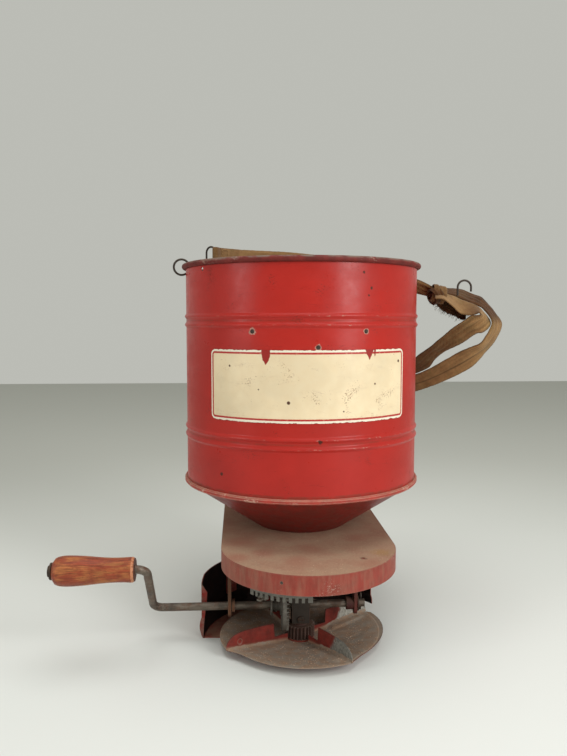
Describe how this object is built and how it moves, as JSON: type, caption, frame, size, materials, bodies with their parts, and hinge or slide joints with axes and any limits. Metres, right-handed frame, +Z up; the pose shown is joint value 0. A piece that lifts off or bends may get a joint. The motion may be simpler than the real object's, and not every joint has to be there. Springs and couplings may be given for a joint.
{
  "type": "broadcast spreader",
  "caption": "Hand-cranked broadcast spreader: round red seed hopper on a funnel and deck, with a crank-driven face gear turning a vaned fan below, and a cotton carrying strap.",
  "frame": {"origin": "on the fan's spin axis, at the foot of the fan spindle, on the surface that the spreader stands on", "axes": "+X along the crank shaft, away from the crank handle; -Y towards the open front; +Z up along the fan's spin axis"},
  "size_m": [0.4944, 0.3282, 0.4151],
  "materials": {
    "red_enamel": "worn glossy red enamel",
    "dark_red_enamel": "dull dark red enamel with dust",
    "deck_enamel": "red enamel under thick beige dust",
    "cream_enamel": "aged cream enamel plate with a red border line",
    "fan_enamel": "worn red enamel with grey metal showing and dust",
    "zinc_casting": "dull grey zinc die casting",
    "pinion_casting": "casting with dull pinkish red dust",
    "galvanised_steel": "dull galvanised sheet",
    "rod_steel": "aged grey-brown steel",
    "rusty_steel": "rusted steel",
    "dark_steel": "dark aged steel",
    "painted_wood": "turned wood with worn red-orange paint",
    "cotton_webbing": "khaki cotton webbing"
  },
  "bodies": {
    "spreader": {"hopper_shell": "red_enamel", "rim_wire": "rusty_steel", "hem_ring": "red_enamel", "hopper_rivets": "dark_steel", "label_plate": "cream_enamel", "funnel": "dark_red_enamel", "deck": "deck_enamel", "feed_throat": "galvanised_steel", "gate_rail": "galvanised_steel", "notched_quadrant": "zinc_casting", "rear_guard": "dark_red_enamel", "guard_lip": "dark_red_enamel", "guard_brackets": "dark_red_enamel", "guard_rivets": "dark_red_enamel", "left_hanger": "rusty_steel", "right_hanger": "dark_red_enamel", "spindle_block": "dark_steel", "gate_post": "dark_steel", "retaining_screw": "dark_steel", "agitator_bush": "rod_steel", "strap_loop": "dark_steel", "strap_hem": "cotton_webbing", "carrying_strap": "cotton_webbing", "strap_hook": "dark_steel"},
    "crank": {"crank_rod": "rod_steel", "face_gear": "zinc_casting", "gear_screw": "dark_steel", "left_collar": "rusty_steel", "right_collar": "dark_red_enamel", "end_washer": "dark_steel", "cotter_pin": "dark_steel", "grip_washer": "dark_steel"},
    "grip": {"wood_grip": "painted_wood"},
    "fan": {"fan_plate": "fan_enamel", "vane_1": "fan_enamel", "vane_2": "fan_enamel", "vane_3": "fan_enamel", "vane_4": "fan_enamel", "vane_rivets": "fan_enamel", "fan_hub": "dark_red_enamel", "pinion": "pinion_casting", "spindle": "rod_steel"},
    "gate": {"gate_plate": "galvanised_steel"},
    "agitator": {"agitator_wheel": "galvanised_steel", "agitator_pin": "rod_steel", "agitator_arm": "galvanised_steel", "arm_nut": "dark_steel"},
    "rim_ring": {"rim_loop": "dark_steel"}
  },
  "joints": [
    {"name": "crank_turn", "type": "hinge", "parent": "spreader", "child": "crank", "pos_m": [0, 0, 0.0363], "axis": [1, 0, 0], "continuous": true},
    {"name": "grip_spin", "type": "hinge", "parent": "crank", "child": "grip", "pos_m": [0, -0.04999, 0.09381], "axis": [1, 0, 0], "continuous": true},
    {"name": "fan_spin", "type": "hinge", "parent": "spreader", "child": "fan", "pos_m": [0, 0, 0], "axis": [0, 0, 1], "continuous": true},
    {"name": "gate_swing", "type": "hinge", "parent": "spreader", "child": "gate", "pos_m": [0, 0, 0.0943], "axis": [0, 0, 1], "range_deg": [0, 34]},
    {"name": "agitator_swing", "type": "hinge", "parent": "spreader", "child": "agitator", "pos_m": [0.008, 0.092, 0.0875], "axis": [0, 0, 1], "range_deg": [-1.4, 1.4]},
    {"name": "rim_ring_swing", "type": "hinge", "parent": "spreader", "child": "rim_ring", "pos_m": [-0.11833, 0.08538, 0.3764], "axis": [-0.9986, -0.0523, 0], "range_deg": [-35, 35]}
  ],
  "couplings": [
    {"joint": "fan_spin", "follows": "crank_turn", "ratio": -1.6667}
  ]
}
